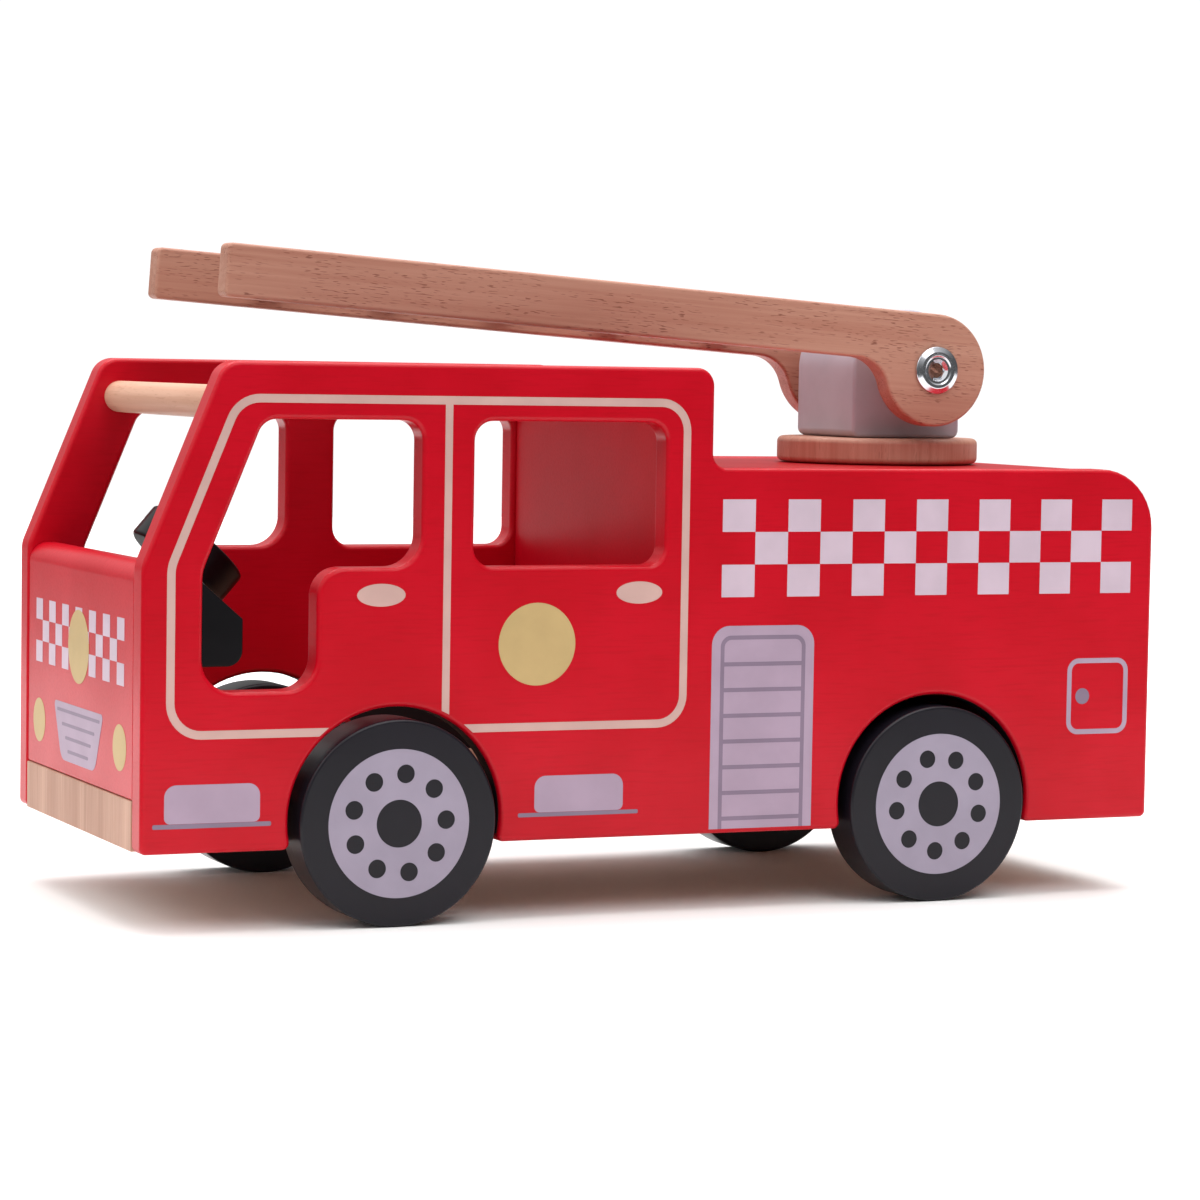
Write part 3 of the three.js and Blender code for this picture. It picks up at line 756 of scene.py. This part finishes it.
def frontPrints():
    n = nose
    lampY, lampZ, lampRadius = n["lamp"]
    low, high, topHalf, lowHalf, radius = n["grille"]
    return {
        "white": checkLoops(-n["columns"] / 2 * n["cell"], n["top"], n["cell"], n["row"], n["columns"]),
        "plate": [outline((-lowHalf, low, radius), (lowHalf, low, radius), (topHalf, high, 1.2),
                          (-topHalf, high, 1.2))],
        "yellow": [discLoop(-lampY, lampZ, lampRadius), discLoop(lampY, lampZ, lampRadius)],
        "lineOver": [boxLoop(-half, half, z - n["bar"] / 2, z + n["bar"] / 2, 0.4) for z, half in n["bars"]],
        "yellowOver": [discLoop(*n["plate"])],
    }


frontFace = placed((span("front_board")[0].x, 0, 0), (0, -1, 0), (0, 0, 1), (-1, 0, 0))
printLayers("front", frontPrints(), frontFace)
print("front decoration made")


# Steering wheel on its peg

steering = joints["steering_turn"]
axis = Vector(steering["axis"]).normalized()
steerPlace = placed(Vector(steering["pos_m"]) / mm, axis.cross((0, 1, 0)), (0, -1, 0), axis)
wheelDisc = {"gap": 5.7, "thick": 9.4, "radius": 14.5, "edge": 1.0, "peg": 3.0, "seat": 7.0}
d = wheelDisc
turnedPiece("steeringWheel", [(0, d["gap"] - 0.01), (d["radius"], d["gap"], d["edge"]),
                              (d["radius"], d["gap"] + d["thick"], d["edge"]), (0, d["gap"] + d["thick"])],
            black, "steering", "black_lacquer", steerPlace, ["steering_wheel"])
turnedPiece("steeringPeg", [(0, -d["seat"]), (d["peg"], -d["seat"], 0.4), (d["peg"], d["gap"] + 0.5, 0.1),
                            (0, d["gap"] + 0.5)], black, "steering", "black_lacquer", steerPlace, ["steering_peg"],
            32)
print("steering made")


# Wheels on their axles

wheel = {"edge": 0.8, "innerEdge": 0.8, "ring": 18.65, "centre": 6.0, "dots": 9, "dot": 2.35, "dotRing": 12.5}
bush = {"bore": 2.2, "barrel": 3.1, "flange": 1}
phases = {"front_left": 7.3, "rear_left": -16.5, "front_right": 12, "rear_right": -4}


def hubLoops(phase):
    holes = [discLoop(0, 0, wheel["centre"], 5)]
    for k in range(wheel["dots"]):
        angle = math.radians(90 - phase + 360 * k / wheel["dots"])
        across, up = wheel["dotRing"] * math.cos(angle), wheel["dotRing"] * math.sin(angle)
        holes.append(discLoop(across, up, wheel["dot"], 12))
    return [(discLoop(0, 0, wheel["ring"], 3), holes)]


for endName in ("front", "rear"):
    hub = Vector(joints[endName + "_wheels_roll"]["pos_m"]) / mm
    for sideName, side in sidePlaces.items():
        node = f"{endName}_{sideName}_wheel"
        low, high = span(node)
        radius, thick = (high.z - low.z) / 2, high.y - low.y
        inner = (hub.x, low.y if side > 0 else high.y, hub.z)
        place = placed(inner, (-side, 0, 0), (0, 0, 1), (0, side, 0))
        turnedPiece(endName + sideName.capitalize() + "Wheel",
                    [(0, 0), (radius, 0, wheel["innerEdge"]), (radius, thick, wheel["edge"]), (0, thick)],
                    tyreBlack, endName + "_wheelset", "black_lacquer", place, [node], 128)
        face = placed((hub.x, side * (abs(inner[1]) + thick), hub.z), (-side, 0, 0), (0, 0, 1), (0, side, 0))
        printed(endName + sideName.capitalize() + "Hub", hubLoops(phases[f"{endName}_{sideName}"]), "hub", face,
                endName + "_wheelset", "black_lacquer")

        low, high = span(f"{endName}_{sideName}_bush")
        bushRadius = (high.z - low.z) / 2
        near = (hub.x, low.y if side > 0 else high.y, hub.z)
        long = high.y - low.y
        turnedPiece(endName + sideName.capitalize() + "Bush",
                    [(bush["bore"], 0, 0.2), (bush["barrel"], 0, 0.2), (bush["barrel"], long - bush["flange"], 0),
                     (bushRadius, long - bush["flange"], 0.2), (bushRadius, long, 0.3),
                     (bush["bore"], long, 0.3)],
                    nylon, "body", "nylon", placed(near, (-side, 0, 0), (0, 0, 1), (0, side, 0)),
                    [f"{endName}_{sideName}_bush"], 48)
    low, high = span(endName + "_axle")
    radius = (high.z - low.z) / 2
    turnedPiece(endName + "Axle", [(0, low.y), (radius, low.y, 0.5), (radius, high.y, 0.5), (0, high.y)], zinc,
                endName + "_wheelset", "plain_steel", placed(hub, (1, 0, 0), (0, 0, -1), (0, 1, 0)),
                [endName + "_axle"], 40)
print("wheels made")


# Turntable

pivot = Vector(joints["ladder_lift"]["pos_m"]) / mm
low, high = span("turntable_disc")
disc = {"edge": 1.6, "postEdge": 1.0, "postFoot": 2.2}
turnedPiece("turntableDisc", [(0, 0), ((high.x - low.x) / 2, 0, disc["edge"]),
                              ((high.x - low.x) / 2, high.z - low.z, disc["edge"]), (0, high.z - low.z)],
            wood("beechDisc", beechLook, "z", (4, 1, 7), (0.4, 0, 0), 0.3), "turntable", "beech",
            placed((pivot.x, 0, low.z), (1, 0, 0), (0, 1, 0), (0, 0, 1)), ["turntable_disc"], 128)
low, high = span("ladder_post")
halfPost = (high.x - low.x) / 2
postWide = high.y - low.y
shell = Shell()
shell.plate(outline((-halfPost, low.z - pivot.z, disc["postFoot"]), (halfPost, low.z - pivot.z, disc["postFoot"]),
                    arcOf((0, high.z - halfPost - pivot.z), halfPost, 0, 180, 4)), (),
            -postWide / 2, postWide / 2, disc["postEdge"], 4)
shell.build("ladderPost", lilac, "turntable", "lilac_lacquer",
            placed(pivot, (1, 0, 0), (0, 0, 1), (0, -1, 0)), ["ladder_post"])
for node in ("post_insert", "turntable_washer", "turntable_bolt"):
    frame["nodes"][node].data.materials.clear()
    frame["nodes"][node].data.materials.append(zinc)
print("turntable made")


# Ladder, in a frame at the pivot whose -X runs along the arms

rest = math.radians(-joints["ladder_lift"]["range_deg"][0])
along, upward = Vector((math.cos(rest), 0, -math.sin(rest))), Vector((math.sin(rest), 0, math.cos(rest)))
ladder = {"reach": 202, "rise": 1.7, "lobe": 15.2, "throat": 10, "tip": 1.5, "edge": 0.9,
          "rung": 4.0, "rungs": 5, "first": 39, "pitch": 33}
armY = span("right_ladder_arm")


def armLoop():
    a = ladder
    throatUp = a["rise"] - a["throat"]
    throatX = -math.sqrt((a["lobe"] + a["throat"]) ** 2 - throatUp ** 2)
    meet = math.degrees(math.atan2(throatUp, throatX)) % 360
    return outline((-a["reach"], a["rise"], a["tip"]),
                   arcOf((throatX, throatUp), a["throat"], 90, meet - 180, 4),
                   arcOf((0, 0), a["lobe"], meet, 450, 4),
                   (-a["reach"], a["lobe"], a["tip"]))


for sideName, side in sidePlaces.items():
    thick = armY[1].y - armY[0].y
    middle = side * (armY[0].y + armY[1].y) / 2
    shell = Shell()
    shell.plate(armLoop(), (), -thick / 2, thick / 2, ladder["edge"], 5)
    grain = wood(sideName + "ArmBeech", beechLook, "x", (side * 2.0, 3.0, 5.0 + side), (0, 0.05, 0.012 * side))
    shell.build(sideName + "LadderArm", grain, "ladder", "beech",
                placed(pivot + Vector((0, middle, 0)), along, upward, (0, -1, 0)), [sideName + "_ladder_arm"])

rungGrain = wood("rungBeech", beechLook, "z", (2, 6, 4), (0.01, 0.01, 0), 0.6)
rungUp = (ladder["rise"] + ladder["lobe"]) / 2
for k in range(ladder["rungs"]):
    low, high = span(f"rung_{k + 1}")
    at = pivot - along * (ladder["first"] + k * ladder["pitch"]) + upward * rungUp
    turnedPiece(f"rung{k + 1}", [(0, low.y), (ladder["rung"], low.y, 0.5), (ladder["rung"], high.y, 0.5),
                                 (0, high.y)], rungGrain, "ladder", "beech",
                placed(at, along, -upward, (0, 1, 0)), [f"rung_{k + 1}"], 40)
for sideName, side in sidePlaces.items():
    low, high = span(sideName + "_spacer")
    start = low.y if side > 0 else high.y
    radius = (high.z - low.z) / 2
    turnedPiece(sideName + "Spacer", [(3.1, 0, 0.3), (radius, 0, 0.6), (radius, high.y - low.y, 0.6),
                                      (3.1, high.y - low.y, 0.3)], rungGrain, "ladder", "beech",
                placed((pivot.x, start, pivot.z), (-side, 0, 0), (0, 0, 1), (0, side, 0)), [sideName + "_spacer"],
                48)

cap = {"radius": 6.4, "thick": 1.5, "socket": 2.3, "depth": 1.1, "mouth": 3.0, "shank": 2.0, "sleeve": 3.0}


def boltCap(name, node, side, shank):
    # a bevelled cap with a hexagon socket; w points out of the arm
    low, high = span(node)
    outer = high.y if side > 0 else -low.y
    c = cap
    shell = Shell()
    profile = [(shank, -12, 0), (shank, 0, 0), (c["radius"], 0, 0.25), (c["radius"], 0.55, 0.35),
               (c["radius"] - 1.6, c["thick"] - 0.15, 0.8), (c["mouth"] + 1.0, c["thick"] - 0.25, 0.3),
               (c["mouth"] + 0.6, c["thick"] - 0.5, 0.2), (c["mouth"], c["thick"] - 0.5, 0.1)]
    ring = [(Vector(profile[0][:2]), Vector((1, 0)), Vector((1, 0)))]
    for i in range(1, len(profile) - 1):
        ring += cornerOf(profile[i - 1][:2], profile[i][:2], profile[i + 1][:2], profile[i][2])
    ring.append((Vector(profile[-1][:2]), Vector((0, 1)), Vector((0, 1))))
    sidesCount = 72
    rays = [Vector((math.cos(math.tau * k / sidesCount), math.sin(math.tau * k / sidesCount)))
            for k in range(sidesCount)]
    for point, _, _ in ring:
        shell.points += [Vector((*(ray * point.x), point.y)) for ray in rays]
    for i in range(len(ring) - 1):
        a, b = ring[i][2], ring[i + 1][1]
        for k in range(sidesCount):
            m = (k + 1) % sidesCount
            shell.face([(i * sidesCount + k, Vector((*(rays[k] * a.x), a.y))),
                        (i * sidesCount + m, Vector((*(rays[m] * a.x), a.y))),
                        ((i + 1) * sidesCount + m, Vector((*(rays[m] * b.x), b.y))),
                        ((i + 1) * sidesCount + k, Vector((*(rays[k] * b.x), b.y)))])
    top = (len(ring) - 1) * sidesCount
    levels = (ring[-1][0].y - 0.35, ring[-1][0].y - c["depth"])
    starts = []
    for level in levels:
        starts.append(len(shell.points))
        for k, ray in enumerate(rays):
            turn = (360 * k / sidesCount) % 60 - 30
            reach = c["socket"] * math.cos(math.radians(30)) / math.cos(math.radians(turn))
            shell.points.append(Vector((*(ray * reach), level)))
    for k in range(sidesCount):
        m = (k + 1) % sidesCount
        facing = math.radians((360 * k / sidesCount) // 60 * 60 + 30)
        wall = Vector((-math.cos(facing), -math.sin(facing), 0))
        lip = (wall + Vector((0, 0, 1))).normalized()
        shell.face([(top + k, lip), (top + m, lip), (starts[0] + m, lip), (starts[0] + k, lip)])
        shell.face([(starts[0] + k, wall), (starts[0] + m, wall), (starts[1] + m, wall), (starts[1] + k, wall)])
    up, down = Vector((0, 0, 1)), Vector((0, 0, -1))
    shell.face([(starts[1] + k, up) for k in range(sidesCount)])
    shell.face([(sidesCount - 1 - k, down) for k in range(sidesCount)])
    shell.build(name, chrome, "ladder", "polished_steel",
                placed((pivot.x, side * (outer - c["thick"]), pivot.z), (-side, 0, 0), (0, 0, 1), (0, side, 0)),
                [node])


boltCap("pivotBolt", "pivot_bolt", -1, cap["shank"])
boltCap("pivotSleeveNut", "pivot_sleeve_nut", 1, cap["sleeve"])
turnedPiece("pivotSleeve", [(0, -armY[0].y), (cap["sleeve"], -armY[0].y, 0.2), (cap["sleeve"], armY[0].y, 0.2),
                            (0, armY[0].y)], chrome, "ladder", "polished_steel",
            placed(pivot, (1, 0, 0), (0, 0, -1), (0, 1, 0)), (), 40)
print("ladder made")


# Floor, light and camera

stage = {"near": -0.45, "far": 2.2, "left": -0.34, "right": 1.6, "tone": (250, 249, 248),
         "shaded": (246, 245, 244), "glow": 0.45, "glowFrom": 0.25, "glowTo": 0.8}
floorShade = Shade("paleFloor", Specular_IOR_Level=0.2)
grit = floorShade.noise(floorShade.place((1, 1, 1)), 40, 3)
floorShade.surface.inputs["Emission Strength"].default_value = stage["glow"]
away = floorShade.node("ShaderNodeVectorMath", {"operation": "LENGTH"},
                       {0: floorShade.node("ShaderNodeTexCoord", output="Object")}, output="Value")
floorShade.feed(Emission_Color=floorShade.mix(away.between(stage["glowFrom"], stage["glowTo"]), (0, 0, 0, 1),
                                              (1, 1, 1, 1)))
floorShade.feed(Base_Color=floorShade.mix(grit, rgb(*stage["tone"]), rgb(*stage["shaded"])),
                Roughness=0.7 + 0.1 * grit)
floorMesh = bpy.data.meshes.new("floor")
floorCorners = (("left", "near"), ("right", "near"), ("right", "far"), ("left", "far"))
floorMesh.from_pydata([(stage[x], stage[y], 0) for x, y in floorCorners], [], [(0, 1, 2, 3)])
floorMesh.materials.append(floorShade.material)
floor = bpy.data.objects.new("floor", floorMesh)
bpy.context.scene.collection.objects.link(floor)

studio = {"toward": (-0.25, 0.12, 0.96), "dim": 0.13, "bright": 1.2, "backdrop": 1.05}
world = bpy.data.worlds.new("studio")
bpy.context.scene.world = world
sky = Nodes(world)
ray = sky.node("ShaderNodeTexCoord", output="Generated")
facing = sky.node("ShaderNodeVectorMath", {"operation": "DOT_PRODUCT"}, {0: ray, 1: studio["toward"]},
                  output="Value")
glow = studio["dim"] + (studio["bright"] - studio["dim"]) * facing.between(0, 0.9)
seen = sky.node("ShaderNodeLightPath", output="Is Camera Ray")
strength = glow * (1 - seen) + studio["backdrop"] * seen
sky.tree.links.new(strength.socket, sky.tree.nodes["Background"].inputs["Strength"])
sky.tree.nodes["Background"].inputs["Color"].default_value = (1, 1, 1, 1)

lamps = {
    "overhead": {"at": (0.1, 0.2, 1.3), "to": (0, 0, 0.05), "size": 1.4, "power": 20},
    "frontSide": {"at": (-1.05, -0.2, 1.05), "to": (-0.1, 0, 0.08), "size": 0.7, "power": 3.1},
    "nearSide": {"at": (0.1, -1.2, 1.35), "to": (0, 0, 0.08), "size": 0.8, "power": 6},
}
for name, lamp in lamps.items():
    data = bpy.data.lights.new(name, "AREA")
    data.shape, data.size, data.energy = "SQUARE", lamp["size"], lamp["power"]
    light = bpy.data.objects.new(name, data)
    bpy.context.scene.collection.objects.link(light)
    light.location = lamp["at"]
    light.rotation_euler = (Vector(lamp["to"]) - Vector(lamp["at"])).to_track_quat("-Z", "Y").to_euler()

shot = {"at": (-0.40518, -0.92878, 0.14175), "azimuth": -23.738, "elevation": 3.6475, "roll": 0.9495,
        "lens": 112.68, "sensor": 36}
azimuth, elevation, roll = (math.radians(shot[key]) for key in ("azimuth", "elevation", "roll"))
toward = Vector((math.sin(azimuth) * math.cos(elevation), -math.cos(azimuth) * math.cos(elevation),
                 math.sin(elevation)))
level = (-toward).cross(Vector((0, 0, 1))).normalized()
above = level.cross(-toward)
right = level * math.cos(roll) + above * math.sin(roll)
top = above * math.cos(roll) - level * math.sin(roll)
cameraData = bpy.data.cameras.new("camera")
cameraData.lens, cameraData.sensor_width = shot["lens"], shot["sensor"]
camera = bpy.data.objects.new("camera", cameraData)
bpy.context.scene.collection.objects.link(camera)
camera.matrix_world = Matrix.Translation(shot["at"]) @ Matrix((right, top, toward)).transposed().to_4x4()
bpy.context.scene.camera = camera
bpy.context.scene.view_settings.view_transform = "Standard"
print("stage made")
